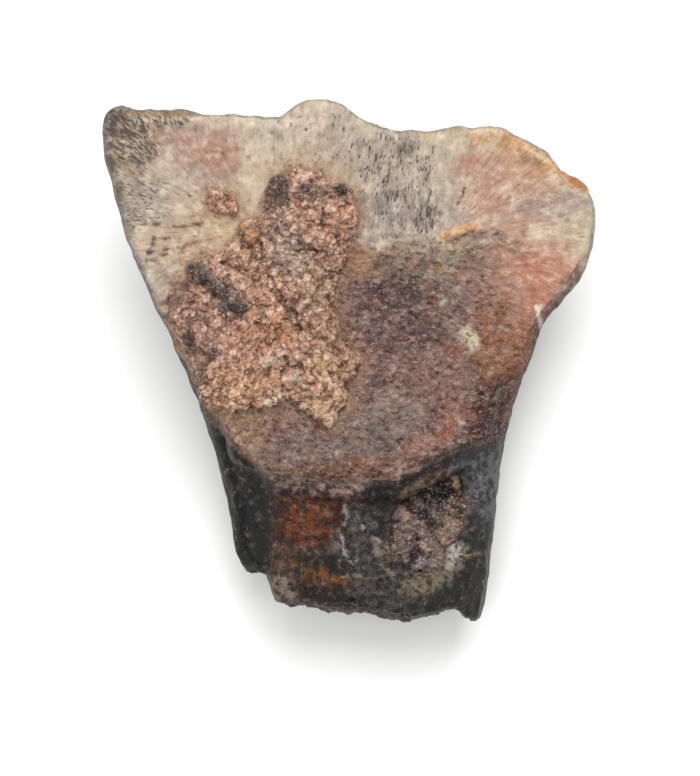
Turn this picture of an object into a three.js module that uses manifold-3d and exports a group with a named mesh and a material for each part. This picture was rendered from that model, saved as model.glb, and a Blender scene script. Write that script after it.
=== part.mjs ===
// A fossil dinosaur tooth that lies on its back, with the hollow chewing face up, in millimetres.
// It has a flared crown with a worn dish in it, a shorter broken root, a crust of sandstone on the
// left of the face, a small fleck of the same stone beside it, and sediment in a pocket of the root.
// X runs across the crown, Y from the root to the crown and Z up from the surface it lies on.
// The origin is on that surface, under the middle of the tooth.

import * as THREE from "three";
import { mergeVertices } from "three/addons/utils/BufferGeometryUtils.js";
import Module from "manifold-3d";

const { smoothstep, lerp, clamp, degToRad } = THREE.MathUtils;

// Heights above the surface
const DISH_FLOOR = 12.6;
const ROOT_SIDE = 6.3;
const CROWN_EDGE = 14.1;
const ROOT_FRONT = 12.7;
const ROOT_END_FRONT = 11.4;

// The underside of the crown lifts off the surface like the bell of a trumpet
const BELL_START = 4;
const BELL_END = 23;
const BELL_LIFT = 12.2;
const BELL_CURVE = 1.6;
const WORN_FLAT = 0.6;

// How far in from the outline the edges are rounded
const CROWN_ROUND = 1.4;
const BREAK_ROUND = 0.6;
const BACK_ROUND = 1.8;

// The lip under the dish, and the flank of the root that has broken away to a lower level
const LIP_FALL = 1.4;
const FLANK_X = -7.6;
const FLANK_DROP = 1.1;

// What lies on or in the tooth keeps this gap to it, and the stone on it is this thick at its edge
const SEAM = 0.3;
const PATCH_EDGE = 0.2;
const POCKET_DEPTH = 3.4;
const FILL_BELOW_MOUTH = 1.3;

// The middle of the dish, from which the outline and the dish's edge are seen
const DISH_MIDDLE = [0.8, 1.2];

// The outline from above, clockwise: the top edge, the right wing, the root's right side, the break,
// and the left side up to the left wing
const OUTLINE = [
  [-22.3, 21.0], [-21.9, 22.5], [-20.6, 23.2], [-18.8, 22.8], [-16.7, 22.9], [-14.7, 22.8],
  [-13.4, 22.4], [-11.3, 22.3], [-8.6, 22.3], [-6.4, 22.1], [-5.4, 22.5], [-4.6, 23.2],
  [-3.0, 23.7], [-1.1, 23.5], [0.1, 22.7], [1.9, 21.7], [4.3, 20.9], [7.6, 21.0],
  [10.3, 21.3], [11.1, 21.0], [12.8, 21.4], [13.8, 21.2], [15.0, 20.5], [16.5, 19.8],
  [17.7, 19.1], [19.2, 17.3], [20.4, 16.8], [21.5, 15.8], [22.1, 14.0], [22.2, 12.3],
  [21.9, 10.2], [20.9, 7.5], [19.3, 5.8], [17.8, 4.0], [17.0, 1.9], [16.0, -1.1],
  [15.0, -4.1], [14.1, -7.2], [13.6, -11.6], [13.1, -15.2], [12.8, -19.0], [12.2, -22.5],
  [11.8, -23.5], [10.8, -23.6], [9.9, -22.5], [8.6, -22.9], [6.8, -23.3], [4.9, -23.7],
  [3.2, -23.4], [1.3, -22.8], [-1.2, -22.7], [-3.7, -22.3], [-6.2, -22.1], [-7.0, -20.9],
  [-7.6, -19.3], [-8.7, -19.4], [-9.7, -18.5], [-10.3, -17.3], [-10.7, -14.3], [-11.8, -9.9],
  [-13.1, -5.4], [-14.7, -0.8], [-17.0, 4.0], [-19.4, 9.5], [-20.5, 12.4], [-21.6, 16.6],
];

// The edge of the dish: the foot of the crown's wall above, the rounded lip below
const DISH_EDGE = [
  [16.6, 3.0], [16.0, -0.6], [13.9, -3.9], [11.0, -7.2], [8.0, -9.5], [4.4, -10.9], [0.0, -11.4],
  [-4.4, -11.1], [-7.8, -10.0], [-10.6, -8.0], [-13.2, -4.4], [-14.6, -0.4], [-14.2, 3.6],
  [-12.0, 7.4], [-8.4, 9.8], [-4.0, 10.8], [1.0, 11.2], [6.4, 11.0], [11.4, 9.8], [15.2, 7.0],
];

// The outermost x of the left and right sides at heights along the tooth, as [y, left, right]
const SIDES = [
  [-24, -9.8, 12.7], [-18, -10.6, 13.2], [-12, -11.5, 13.9], [-7, -12.9, 14.5], [-4, -13.9, 15.3],
  [0, -15.2, 16.8], [4, -17.3, 18.2], [7, -18.7, 20.9], [10, -20.0, 22.3], [15, -21.6, 22.7],
  [24, -22.8, 22.9],
];

// Heights by the direction seen from the middle of the dish, in degrees from +X, as
// [direction, edge of the dish, rim of the crown]
const FACE_HEIGHTS = [
  [0, 14.0, 15.0], [30, 13.8, 16.0], [60, 13.5, 16.6], [90, 13.4, 16.9], [125, 13.5, 17.0],
  [150, 13.7, 16.2], [180, 13.9, 15.0], [215, 14.1, 14.4], [270, 14.0, 14.0], [330, 14.2, 14.4],
  [360, 14.0, 15.0],
];

// The sandstone crust: its outline, clockwise from the top of its upper lobe
const CRUST_MIDDLE = [-6.9, 5.7];
const CRUST_OUTLINE = [
  [-6.5, 16.6], [-5.7, 17.3], [-4.0, 17.6], [-2.8, 17.2], [-1.6, 16.6], [-0.4, 16.2],
  [0.4, 15.0], [0.7, 13.6], [0.3, 11.5], [-0.4, 9.1], [-1.3, 7.2], [-1.8, 5.7],
  [-1.4, 3.6], [-1.2, 2.4], [-0.4, 1.8], [0.3, 1.0], [0.8, 0.0], [0.3, -1.3],
  [-0.3, -1.7], [-0.2, -3.3], [-0.9, -4.2], [-0.9, -5.1], [-1.3, -5.7], [-2.0, -5.7],
  [-2.8, -5.1], [-3.6, -4.7], [-4.4, -3.9], [-5.3, -3.1], [-6.8, -3.6], [-8.3, -4.1],
  [-10.3, -4.6], [-11.8, -4.3], [-13.0, -3.6], [-13.4, -2.5], [-13.0, -1.2], [-12.3, 0.0],
  [-12.7, 1.1], [-13.8, 1.4], [-15.2, 1.8], [-15.7, 3.2], [-15.6, 4.6], [-15.0, 5.7],
  [-14.5, 6.7], [-14.6, 8.2], [-13.9, 9.1], [-12.5, 9.4], [-11.6, 10.1], [-10.3, 11.0],
  [-9.7, 12.2], [-9.0, 13.0], [-8.2, 12.9], [-7.8, 13.9],
];
const CRUST_BASE = 0.75;
const CRUST_ROUND = 0.8;

// Mounds and pebbles of the crust, as [x, y, radius, height]
const CRUST_MOUNDS = [
  [-3.6, 13.6, 4.6, 1.3], [-1.0, 11.8, 3.4, 0.7], [-5.0, 9.2, 3.6, 0.9], [-3.4, 5.2, 3.4, 0.9],
  [-2.2, 1.0, 3.4, 0.9], [-2.2, -3.2, 2.8, 0.8], [-12.2, 6.6, 3.2, 0.5], [-9.0, 1.6, 3.6, 0.5],
  [-6.0, 15.5, 1.2, 0.9], [-4.1, 15.6, 0.7, 0.5], [-13.6, 7.8, 1.2, 0.7], [-12.0, 6.7, 1.1, 0.6],
  [-10.2, 5.1, 1.2, 0.8], [-14.3, 2.6, 0.9, 0.8], [-12.1, 0.9, 0.9, 0.7],
];

// The fleck of the same stone, above and left of the crust
const FLECK_MIDDLE = [-11.4, 14.4];
const FLECK_OUTLINE = [
  [-13.0, 14.8], [-12.2, 15.5], [-11.2, 15.5], [-10.2, 14.9], [-10.0, 13.9], [-10.5, 13.3],
  [-11.6, 13.4], [-12.5, 13.9],
];
const FLECK_HEIGHT = 0.45;

// The mouth of the pocket in the root, clockwise from the middle of its upper edge
const POCKET_MIDDLE = [7.2, -14.4];
const POCKET_MOUTH = [
  [7.1, -10.8], [8.3, -10.3], [9.2, -10.0], [10.1, -9.6], [10.5, -10.5], [10.8, -12.2],
  [10.5, -13.9], [10.3, -15.0], [9.9, -15.9], [9.1, -16.5], [8.4, -17.4], [7.8, -18.1],
  [7.4, -18.8], [6.7, -19.2], [5.8, -19.3], [5.0, -18.8], [4.5, -17.9], [4.1, -17.0],
  [3.7, -16.0], [3.4, -14.9], [3.4, -13.8], [4.0, -12.9], [4.9, -12.2], [5.9, -11.5],
];

// The value of a column of a table at a place along its first column, with no corners between rows.
function along(table, place, column) {
  const last = table.length - 1;
  let row = table.findIndex(([start]) => start > place) - 1;
  if (row < 0) row = place < table[0][0] ? 0 : last - 1;
  const [start, end] = [table[row][0], table[row + 1][0]];
  const share = clamp((place - start) / (end - start), 0, 1);
  const before = table[Math.max(row - 1, 0)][column];
  const after = table[Math.min(row + 2, last)][column];
  const curve = new THREE.SplineCurve([
    new THREE.Vector2(0, before),
    new THREE.Vector2(1, table[row][column]),
    new THREE.Vector2(2, table[row + 1][column]),
    new THREE.Vector2(3, after),
  ]);
  return curve.getPoint((1 + share) / 3).y;
}

// A closed curve through points, of which a centre inside sees every part.
class SeenOutline {
  constructor(points, [x, y]) {
    this.centre = new THREE.Vector2(x, y);
    this.spans = points.length;
    const corners = points.map(([px, py]) => new THREE.Vector3(px, py, 0));
    this.curve = new THREE.CatmullRomCurve3(corners, true, "centripetal");
    this.polar = this.rim(6).map((p) => [this.direction(p.x, p.y), this.distance(p.x, p.y)]);
    this.polar.sort((a, b) => a[0] - b[0]);
  }

  // Points round the outline, a number of them on each span.
  rim(perSpan) {
    return this.curve.getPoints(this.spans * perSpan).slice(0, -1);
  }

  direction(x, y) {
    const angle = Math.atan2(y - this.centre.y, x - this.centre.x);
    return angle < 0 ? angle + 2 * Math.PI : angle;
  }

  distance(x, y) {
    return Math.hypot(x - this.centre.x, y - this.centre.y);
  }

  // How far the outline is from the centre in a direction.
  reach(direction) {
    const { polar } = this;
    let next = polar.findIndex(([angle]) => angle > direction);
    if (next < 0) next = 0;
    const [angle, distance] = polar[next];
    const [angleBefore, distanceBefore] = polar.at(next - 1);
    const turn = 2 * Math.PI;
    const gap = (angle - angleBefore + turn) % turn;
    const share = ((direction - angleBefore + turn) % turn) / gap;
    return lerp(distanceBefore, distance, share);
  }
}

const outline = new SeenOutline(OUTLINE, DISH_MIDDLE);
const dishEdge = new SeenOutline(DISH_EDGE, DISH_MIDDLE);

// The quarter of a circle by which a surface falls away over its last stretch to an edge.
function edgeRound(fromEdge, width) {
  const share = clamp(fromEdge / width, 0, 1);
  return Math.sqrt(1 - (1 - share) ** 2);
}

// The height share of an oval across the tooth at a point: 1 in the middle, 0 at its sides.
function acrossOval(x, y, power) {
  const left = along(SIDES, y, 1);
  const right = along(SIDES, y, 2);
  const share = clamp(Math.abs((2 * x - left - right) / (right - left)), 0, 0.99);
  return (1 - share ** power) ** (1 / power);
}

// Where front and back meet at the outline: half way up the root's side, high at the crown's edge.
function middleHeight(x, y) {
  const shift = 4 * smoothstep(x, -4, 8);
  const step = smoothstep(y, shift - 9, shift + 2);
  return ROOT_SIDE + 5.9 * step + (CROWN_EDGE - ROOT_SIDE - 5.9) * smoothstep(y, 2, 22);
}

// Low swells of the worn surface.
function swell(x, y) {
  return 0.12 * Math.sin(0.55 * x + 0.9) * Math.cos(0.48 * y) + 0.08 * Math.sin(0.9 * x - 0.7 * y);
}

// The width over which the front's edge is rounded: narrow along the root and at its break.
function frontRound(y) {
  return lerp(BREAK_ROUND, CROWN_ROUND, smoothstep(y, -7, 3));
}

function rootFront(x, y) {
  const height = lerp(ROOT_END_FRONT, ROOT_FRONT, smoothstep(y, -23, -9));
  const base = middleHeight(x, y);
  const flank = FLANK_DROP * smoothstep(-x, -FLANK_X - 0.4, -FLANK_X + 0.6) * smoothstep(-y, 10, 13);
  return lerp(base, height, acrossOval(x, y, 2.5)) - flank;
}

// The upper surface of the tooth, without the pocket.
function frontHeight(x, y) {
  const direction = outline.direction(x, y);
  const distance = outline.distance(x, y);
  const degrees = THREE.MathUtils.radToDeg(direction);
  const round = frontRound(y);
  const reach = outline.reach(direction);
  const edge = Math.min(dishEdge.reach(direction), reach - round - 1.6);
  const edgeHeight = along(FACE_HEIGHTS, degrees, 1);
  const rimHeight = along(FACE_HEIGHTS, degrees, 2);
  let height = lerp(DISH_FLOOR, edgeHeight, Math.min(distance / edge, 1) ** 2.2);
  if (distance > edge) {
    const out = clamp((distance - edge) / (reach - edge), 0, 1);
    const wall = lerp(edgeHeight, rimHeight, 0.8 * out + 0.2 * out * out);
    const towardsRoot = smoothstep(degrees, 196, 210) * (1 - smoothstep(degrees, 342, 358));
    const fall = towardsRoot * smoothstep(distance - edge, 0, LIP_FALL);
    height = lerp(wall, rootFront(x, y), fall);
  }
  height += swell(x, y);
  return lerp(middleHeight(x, y), height, edgeRound(reach - distance, round));
}

// The lower surface of the tooth: flat where it rests, and lifting under the crown.
function backHeight(x, y) {
  const bell = BELL_LIFT * (Math.max(y - BELL_START, 0) / (BELL_END - BELL_START)) ** BELL_CURVE;
  const keel = bell - WORN_FLAT;
  const power = lerp(2.2, 1.8, smoothstep(y, -4, 12));
  const height = lerp(middleHeight(x, y), keel, acrossOval(x, y, power));
  const direction = outline.direction(x, y);
  const fromEdge = outline.reach(direction) - outline.distance(x, y);
  const round = lerp(BREAK_ROUND, BACK_ROUND, smoothstep(y, -16, 6));
  return Math.max(lerp(middleHeight(x, y), height, edgeRound(fromEdge, round)), 0);
}

// A closed body between an upper and a lower skin that share one rim. A skin is { radii, height }:
// radii gives, for the ray to a rim point, the distances of its rings from the rim inwards.
function shell(rim, [cx, cy], rimHeight, upper, lower) {
  const positions = [];
  const index = [];
  const addRing = (points) => {
    const first = positions.length / 3;
    positions.push(...points.flat());
    return first;
  };
  const addFace = (a, b, c, facing) => index.push(...(facing > 0 ? [a, b, c] : [a, c, b]));
  const edge = addRing(rim.map((p) => [p.x, p.y, rimHeight(p.x, p.y)]));
  for (const [skin, facing] of [[upper, 1], [lower, -1]]) {
    const rays = rim.map((p) => ({
      x: p.x - cx,
      y: p.y - cy,
      reach: Math.hypot(p.x - cx, p.y - cy),
    }));
    const radii = rays.map((ray) => skin.radii(ray));
    let outer = edge;
    for (let k = 0; k < radii[0].length; k++) {
      const inner = addRing(rays.map((ray, i) => {
        const share = radii[i][k] / ray.reach;
        const x = cx + ray.x * share;
        const y = cy + ray.y * share;
        return [x, y, skin.height(x, y)];
      }));
      rim.forEach((_, i) => {
        const j = (i + 1) % rim.length;
        addFace(outer + i, inner + i, outer + j, facing);
        addFace(outer + j, inner + i, inner + j, facing);
      });
      outer = inner;
    }
    const middle = addRing([[cx, cy, skin.height(cx, cy)]]);
    rim.forEach((_, i) => addFace(outer + i, middle, outer + ((i + 1) % rim.length), facing));
  }
  const geometry = new THREE.BufferGeometry();
  geometry.setAttribute("position", new THREE.Float32BufferAttribute(positions, 3));
  geometry.setIndex(index);
  return geometry;
}

// Ring distances within a rounded edge, closer together towards the rim.
function roundRings(reach, width, count) {
  const steps = Array.from({ length: count }, (_, k) => degToRad((90 * (k + 1)) / count));
  return steps.map((step) => reach - width * (1 - Math.cos(step)));
}

// Ring distances at even shares of the way from one distance to another, the last left out.
function evenRings(from, to, count) {
  return Array.from({ length: count }, (_, k) => lerp(from, to, (k + 1) / (count + 1)));
}

function toothBody() {
  const toothRim = outline.rim(2);
  const front = {
    height: frontHeight,
    radii: ({ x, y, reach }) => {
      const direction = (Math.atan2(y, x) + 2 * Math.PI) % (2 * Math.PI);
      const round = frontRound(DISH_MIDDLE[1] + y);
      const dish = Math.min(dishEdge.reach(direction), reach - round - 1.6);
      const inside = [0.8, 0.61, 0.43, 0.26, 0.12].map((share) => dish * share);
      const foot = dish + 0.9 * Math.min(LIP_FALL, reach - round - dish);
      return [
        ...roundRings(reach, round, 4),
        ...evenRings(reach - round, foot, 3),
        foot,
        lerp(dish, foot, 0.45),
        dish - 0.3,
        ...inside,
      ];
    },
  };
  const back = {
    height: backHeight,
    radii: ({ y, reach }) => {
      const round = lerp(BREAK_ROUND, BACK_ROUND, smoothstep(DISH_MIDDLE[1] + y, -16, 6));
      return [...roundRings(reach, round, 3), ...evenRings(reach - round, 0, 5)];
    },
  };
  return shell(toothRim, DISH_MIDDLE, middleHeight, front, back);
}

const pocket = new SeenOutline(POCKET_MOUTH, POCKET_MIDDLE);

// The floor of the pocket, deepest under its upper edge.
function pocketFloor(x, y) {
  return ROOT_FRONT - POCKET_DEPTH + 0.9 * smoothstep(-y, 12, 19) + 2 * swell(x, y);
}

// The room that the pocket takes out of the root, open above it.
function pocketHollow() {
  const clear = ROOT_FRONT + 4;
  const sides = { height: () => clear, radii: ({ reach }) => [reach * 0.5] };
  const floor = {
    height: pocketFloor,
    radii: ({ reach }) => [reach - 0.5, reach * 0.62, reach * 0.3],
  };
  return shell(pocket.rim(1), POCKET_MIDDLE, () => clear, sides, floor);
}

// The sediment left in the pocket, with a rough top below the mouth.
function pocketFill() {
  const wallGap = SEAM + 0.55;
  const rim = pocket.rim(2).map((p) => {
    const share = 1 - wallGap / pocket.distance(p.x, p.y);
    return new THREE.Vector3(
      POCKET_MIDDLE[0] + (p.x - POCKET_MIDDLE[0]) * share,
      POCKET_MIDDLE[1] + (p.y - POCKET_MIDDLE[1]) * share,
      0,
    );
  });
  const bottom = (x, y) => pocketFloor(x, y) + SEAM;
  const grains = (x, y) => 0.22 * Math.sin(2.3 * x) * Math.cos(2.1 * y) + 0.16 * Math.sin(3.4 * x + y);
  const top = (x, y) => {
    const below = lerp(FILL_BELOW_MOUTH + 0.7, FILL_BELOW_MOUTH, smoothstep(-y, 11, 15));
    return Math.max(ROOT_FRONT - below + grains(x, y) - 0.45 * smoothstep(-y, 14, 20), bottom(x, y) + 0.2);
  };
  const upper = {
    height: top,
    radii: ({ reach }) => [reach - 0.3, reach * 0.72, reach * 0.48, reach * 0.24],
  };
  const lower = { height: bottom, radii: ({ reach }) => [reach - 0.25, reach * 0.5] };
  return shell(rim, POCKET_MIDDLE, (x, y) => bottom(x, y) + 0.5, upper, lower);
}

const library = await Module();
library.setup();

// Cuts one closed body out of another.
function cut(body, tool) {
  const [solid, hollow] = [body, tool].map((geometry) => {
    const merged = mergeVertices(geometry);
    return new library.Manifold(new library.Mesh({
      numProp: 3,
      vertProperties: merged.attributes.position.array,
      triVerts: new Uint32Array(merged.index.array),
    }));
  });
  const mesh = solid.subtract(hollow).getMesh();
  const geometry = new THREE.BufferGeometry();
  geometry.setAttribute("position", new THREE.BufferAttribute(mesh.vertProperties, 3));
  geometry.setIndex(new THREE.BufferAttribute(mesh.triVerts, 1));
  return geometry;
}

// A patch of stone that lies on the face, its top raised by mounds over an even base.
function stonePatch(points, middle, perSpan, base, round, mounds) {
  const patch = new SeenOutline(points, middle);
  const edgeFoot = (x, y) => frontHeight(x, y) + SEAM + PATCH_EDGE;
  const top = (x, y) => {
    const fromEdge = patch.reach(patch.direction(x, y)) - patch.distance(x, y);
    const raised = mounds.reduce((sum, [mx, my, radius, height]) => {
      const near = 1 - clamp(Math.hypot(x - mx, y - my) / radius, 0, 1) ** 2;
      return sum + height * near ** 1.5;
    }, base);
    return edgeFoot(x, y) + raised * edgeRound(fromEdge, round);
  };
  const upper = {
    height: top,
    radii: ({ reach }) => [...roundRings(reach, round, 2), ...evenRings(reach - round, 0, 6)],
  };
  const lower = { height: (x, y) => frontHeight(x, y) - SEAM, radii: ({ reach }) => [reach - 0.1] };
  const body = shell(patch.rim(perSpan), middle, edgeFoot, upper, lower);
  return cut(body, toothBody().translate(0, 0, SEAM));
}

function namedMesh(name, geometry, colour, roughness) {
  geometry.computeVertexNormals();
  const material = new THREE.MeshStandardMaterial({ color: colour, roughness, metalness: 0 });
  const mesh = new THREE.Mesh(geometry, material);
  mesh.name = name;
  return mesh;
}

const fossil = new THREE.Group();
fossil.add(
  namedMesh("tooth", cut(toothBody(), pocketHollow()), "#9c8577", 0.6),
  namedMesh(
    "sandstone_crust",
    stonePatch(CRUST_OUTLINE, CRUST_MIDDLE, 2, CRUST_BASE, CRUST_ROUND, CRUST_MOUNDS),
    "#b58f74",
    0.95,
  ),
  namedMesh(
    "sandstone_fleck",
    stonePatch(FLECK_OUTLINE, FLECK_MIDDLE, 3, FLECK_HEIGHT, CRUST_ROUND, []),
    "#ad7d62",
    0.95,
  ),
  namedMesh("pocket_sediment", pocketFill(), "#7b6a61", 0.95),
);

export default fossil;
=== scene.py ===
"""The looks of a fossil dinosaur tooth with sandstone on it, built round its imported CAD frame.

The shapes start as copies of the CAD solids. They are remeshed, and grain, cracks, flakes and
pits are worked into them. Each material starts from stains that are painted on the vertices.
Lengths are in millimetres until they go into a mesh, and the places on lines and outlines are in
tenths of a millimetre.
"""

import itertools

import bmesh
import bpy
import numpy as np
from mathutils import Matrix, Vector
from mathutils.kdtree import KDTree


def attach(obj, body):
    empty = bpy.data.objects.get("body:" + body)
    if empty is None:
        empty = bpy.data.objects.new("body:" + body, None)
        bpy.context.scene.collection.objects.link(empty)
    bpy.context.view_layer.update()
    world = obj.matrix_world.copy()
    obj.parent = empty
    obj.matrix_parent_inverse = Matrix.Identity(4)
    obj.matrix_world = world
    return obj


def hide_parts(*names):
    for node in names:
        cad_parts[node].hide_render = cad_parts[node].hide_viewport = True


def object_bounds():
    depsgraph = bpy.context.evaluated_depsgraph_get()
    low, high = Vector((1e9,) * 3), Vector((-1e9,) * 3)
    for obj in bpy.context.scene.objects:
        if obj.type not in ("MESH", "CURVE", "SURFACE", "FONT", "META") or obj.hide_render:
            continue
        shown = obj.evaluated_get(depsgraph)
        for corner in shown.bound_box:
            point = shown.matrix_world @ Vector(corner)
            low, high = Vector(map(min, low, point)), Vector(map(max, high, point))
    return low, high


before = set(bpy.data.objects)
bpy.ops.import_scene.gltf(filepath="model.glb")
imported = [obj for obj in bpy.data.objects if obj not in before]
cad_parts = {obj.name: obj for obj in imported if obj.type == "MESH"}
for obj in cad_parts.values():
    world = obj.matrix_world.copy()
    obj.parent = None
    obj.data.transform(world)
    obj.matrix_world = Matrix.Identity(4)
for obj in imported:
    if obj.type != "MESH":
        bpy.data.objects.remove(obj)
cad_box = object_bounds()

MM = 0.001

# Random unit directions, places and numbers on a lattice that repeats, from which all noise is made
LATTICE = 32
chance = np.random.default_rng(7)
DIRECTIONS = chance.normal(size=(LATTICE**3, 3))
DIRECTIONS /= np.linalg.norm(DIRECTIONS, axis=1, keepdims=True)
PLACES = chance.random((LATTICE**3, 3))
NUMBERS = chance.random(LATTICE**3)
# This brings the noise to about -1 to 1
NOISE_STRENGTH = 1.7
# How far apart on the lattice different seeds and octaves lie
SEED_SHIFT = 5.37
OCTAVE_SHIFT = 1.93
GRAIN_SEED_SHIFT = 3.11
# Every stain's edge is this much softer than its table says
STAIN_SOFTNESS = 1.4


def lattice_at(table, cells):
    """The table's entries at these cells, over and over past its edges."""
    return table[cells % LATTICE @ (LATTICE * LATTICE, LATTICE, 1)]


def noise(points, size, octaves=1, seed=0):
    """Smooth noise from about -1 to 1, whose swells are this many millimetres apart. Each octave is
    twice as fine and half as strong, and each seed is another stretch of it."""
    total = np.zeros(len(points))
    strength = NOISE_STRENGTH
    for octave in range(octaves):
        place = points * (2**octave / size) + SEED_SHIFT * seed + OCTAVE_SHIFT * octave
        cells = np.floor(place).astype(int)
        within = place - cells
        fade = within**3 * (within * (within * 6 - 15) + 10)
        for corner in itertools.product((0, 1), repeat=3):
            share = np.prod(np.where(corner, fade, 1 - fade), axis=1)
            slope = lattice_at(DIRECTIONS, cells + corner)
            total += strength * share * np.sum(slope * (within - corner), axis=1)
        strength *= 0.5
    return total


def grains_of(points, size, seed=0):
    """For packed grains of this size: how far out in its grain a point is, in grain sizes, and
    the grain's own number from 0 to 1."""
    place = points / size + GRAIN_SEED_SHIFT * seed
    cells = np.floor(place).astype(int)
    nearest = np.full(len(points), 9.0)
    number = np.zeros(len(points))
    for offset in itertools.product((-1, 0, 1), repeat=3):
        neighbour = cells + offset
        apart = np.linalg.norm(neighbour + lattice_at(PLACES, neighbour) - place, axis=1)
        number = np.where(apart < nearest, lattice_at(NUMBERS, neighbour), number)
        nearest = np.minimum(nearest, apart)
    return nearest, number


def rise(value, start, end):
    """0 before start, 1 after end and smooth between them."""
    share = np.clip((value - start) / (end - start), 0, 1)
    return share * share * (3 - 2 * share)


def corners_of(line):
    """The places on a line or outline, which is written as x, y, x, y and so on, in tenths of a
    millimetre."""
    return [(x / 10, y / 10) for x, y in zip(line[::2], line[1::2])]


def distance_to_line(points, line):
    """Distance across the face from a line, or from a single place."""
    nearest = np.full(len(points), np.inf)
    corners = corners_of(line)
    for start, end in zip(corners, corners[1:] or corners):
        start, end = np.array(start), np.array(end)
        along = end - start
        length = along @ along
        offset = points[:, :2] - start
        share = np.clip(offset @ along / length, 0, 1) if length else np.zeros(len(points))
        nearest = np.minimum(nearest, np.linalg.norm(offset - share[:, None] * along, axis=1))
    return nearest


def near(points, line, width, soft):
    """1 on a band of this width along a line, and 0 past its soft edge."""
    return 1 - rise(distance_to_line(points, line), (width - soft) / 2, (width + soft) / 2)


def inside(points, outline, soft):
    """1 inside a closed outline, and 0 outside its soft edge."""
    x, y = points[:, 0], points[:, 1]
    within = np.zeros(len(points), bool)
    corners = corners_of(outline)
    for (x0, y0), (x1, y1) in zip(corners, corners[1:] + corners[:1]):
        if y0 != y1:
            crosses = (y0 > y) != (y1 > y)
            within ^= crosses & (x < (x1 - x0) * (y - y0) / (y1 - y0) + x0)
    apart = distance_to_line(points, outline + outline[:2])
    return rise(np.where(within, apart, -apart), -soft / 2, soft / 2)


def wander(points, far, size, seed):
    """The points moved about across the face, so that what is placed by them has a natural edge."""
    moved = points.copy()
    moved[:, 0] += far * noise(points, size, 3, seed)
    moved[:, 1] += far * noise(points, size, 3, seed + 1)
    return moved


def linear(hex_colour):
    """The linear red, green and blue of an sRGB hex colour."""
    shares = [int(hex_colour[i : i + 2], 16) / 255 for i in (1, 3, 5)]
    return [s / 12.92 if s <= 0.04045 else ((s + 0.055) / 1.055) ** 2.4 for s in shares]


def all_over(hex_colour, points):
    """The same colour at every point."""
    return np.tile(linear(hex_colour), (len(points), 1))


def painted(colours, hex_colour, cover):
    """The colours with another laid over them, where cover is above 0."""
    return colours + (np.array(linear(hex_colour)) - colours) * np.clip(cover, 0, 1)[:, None]


def mottled(colours, points, mottles):
    """The colours with a table of mottles laid over them, as (colour, cover, size, octaves, seed,
    start, end) of a noise."""
    for hex_colour, cover, size, octaves, seed, start, end in mottles:
        share = rise(noise(points, size, octaves, seed), start, end)
        colours = painted(colours, hex_colour, cover * share)
    return colours


def stained(colours, points, stains, ragged):
    """The colours with a table of stains laid over them, as (colour, cover, softness, outline).
    Their edges break up as ragged says, most of all halfway across."""
    for hex_colour, cover, soft, outline in stains:
        share = inside(points, outline, STAIN_SOFTNESS * soft)
        colours = painted(colours, hex_colour, cover * (share + 4 * ragged * share * (1 - share)))
    return colours


# The fibres of the crown's wall run from this line to the rim, and fan out at both of its ends
FIBRE_ROOTS = [-94, 118, 82, 115]
FAN_RADIUS = 14.0
LEAN = 0.14
SLIT_SIZE = (0.30, 1.05, 3.0)

# The dish, the root, the lip between them, and what stands up or has broken away, on the face
DISH = [-163, 70, -121, 91, -78, 114, -44, 122, 1, 111, 21, 108, 46, 111, 78, 111, 109, 114, 136, 114,
    154, 111, 172, 100, 183, 84, 192, 57, 190, 30, 183, 3, 172, -33, 158, -69, 118, -105, 73, -123, 1, -132,
    -53, -128, -98, -105, -130, -69, -148, -24, -165, 30]
ROOT = [-179, -303, -179, -29, -130, -50, -105, -75, -82, -96, -44, -105, 4, -109, 31, -106, 69, -94,
    96, -80, 116, -73, 140, -68, 190, -68, 190, -303]
LIP = [-130, -48, -105, -75, -82, -95, -44, -104, 4, -107, 31, -104, 69, -92, 102, -76]
LIP_ROLL = [-121, -44, -98, -68, -76, -86, -42, -95, 4, -98, 30, -96, 64, -85, 95, -69]
FLANK = [-138, -51, -105, -69, -82, -101, -73, -128, -72, -159, -73, -191, -78, -204, -134, -204]
NECK = [217, 91, 207, 84, 193, 71, 183, 57, 173, 37, 165, 16, 176, 12, 244, 57]
WING_CHIP = [184, 179, 190, 168, 199, 158, 206, 154, 221, 150, 231, 165, 208, 183]
WING_RIDGE = [156, 194, 179, 181, 190, 166, 202, 156, 219, 149]
WING_PIT = [202, 158, 205, 158]
PLANK = [80, 117, 96, 122, 114, 126, 116, 120, 98, 115, 82, 110]
POCKET_LEDGE = [44, -121, 57, -114, 73, -105, 88, -97, 102, -93]
BOTTOM_LEDGE = [-24, -224, -6, -216, 3, -213, 12, -217, 26, -224, 50, -229, 62, -238, -17, -249]
# As (thickness, outline)
FLAKES = [
    (0.16, [-17, -150, -7, -150, -5, -164, -4, -174, -17, -174, -24, -164]),
    (0.22, [-4, -126, 7, -134, 13, -143, 15, -156, 7, -177, 4, -182, -4, -173, -2, -146]),
    (0.14, [20, -156, 33, -166, 40, -183, 31, -195, -4, -195, 8, -177]),
    (0.20, [15, -109, 53, -109, 55, -120, 44, -126, 31, -134, 21, -127]),
    (0.18, [-73, -166, -53, -170, -44, -195, -48, -213, -66, -219, -75, -204]),
]


def fibre_places(points):
    """Across and along the crown's fibres at each point, in slits."""
    start, end = (np.array(place) for place in corners_of(FIBRE_ROOTS))
    length = np.linalg.norm(end - start)
    along = (end - start) / length
    up = np.array((-along[1], along[0]))
    offset = points[:, :2] - start
    offset -= LEAN * np.clip(offset @ up, 0, None)[:, None] * along
    root = np.clip(offset @ along, 0, length)
    out = offset - root[:, None] * along
    turn = np.arctan2(out @ along, out @ up)
    places = np.stack((root + turn * FAN_RADIUS, np.linalg.norm(out, axis=1), points[:, 2]), axis=1)
    return places / SLIT_SIZE


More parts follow.
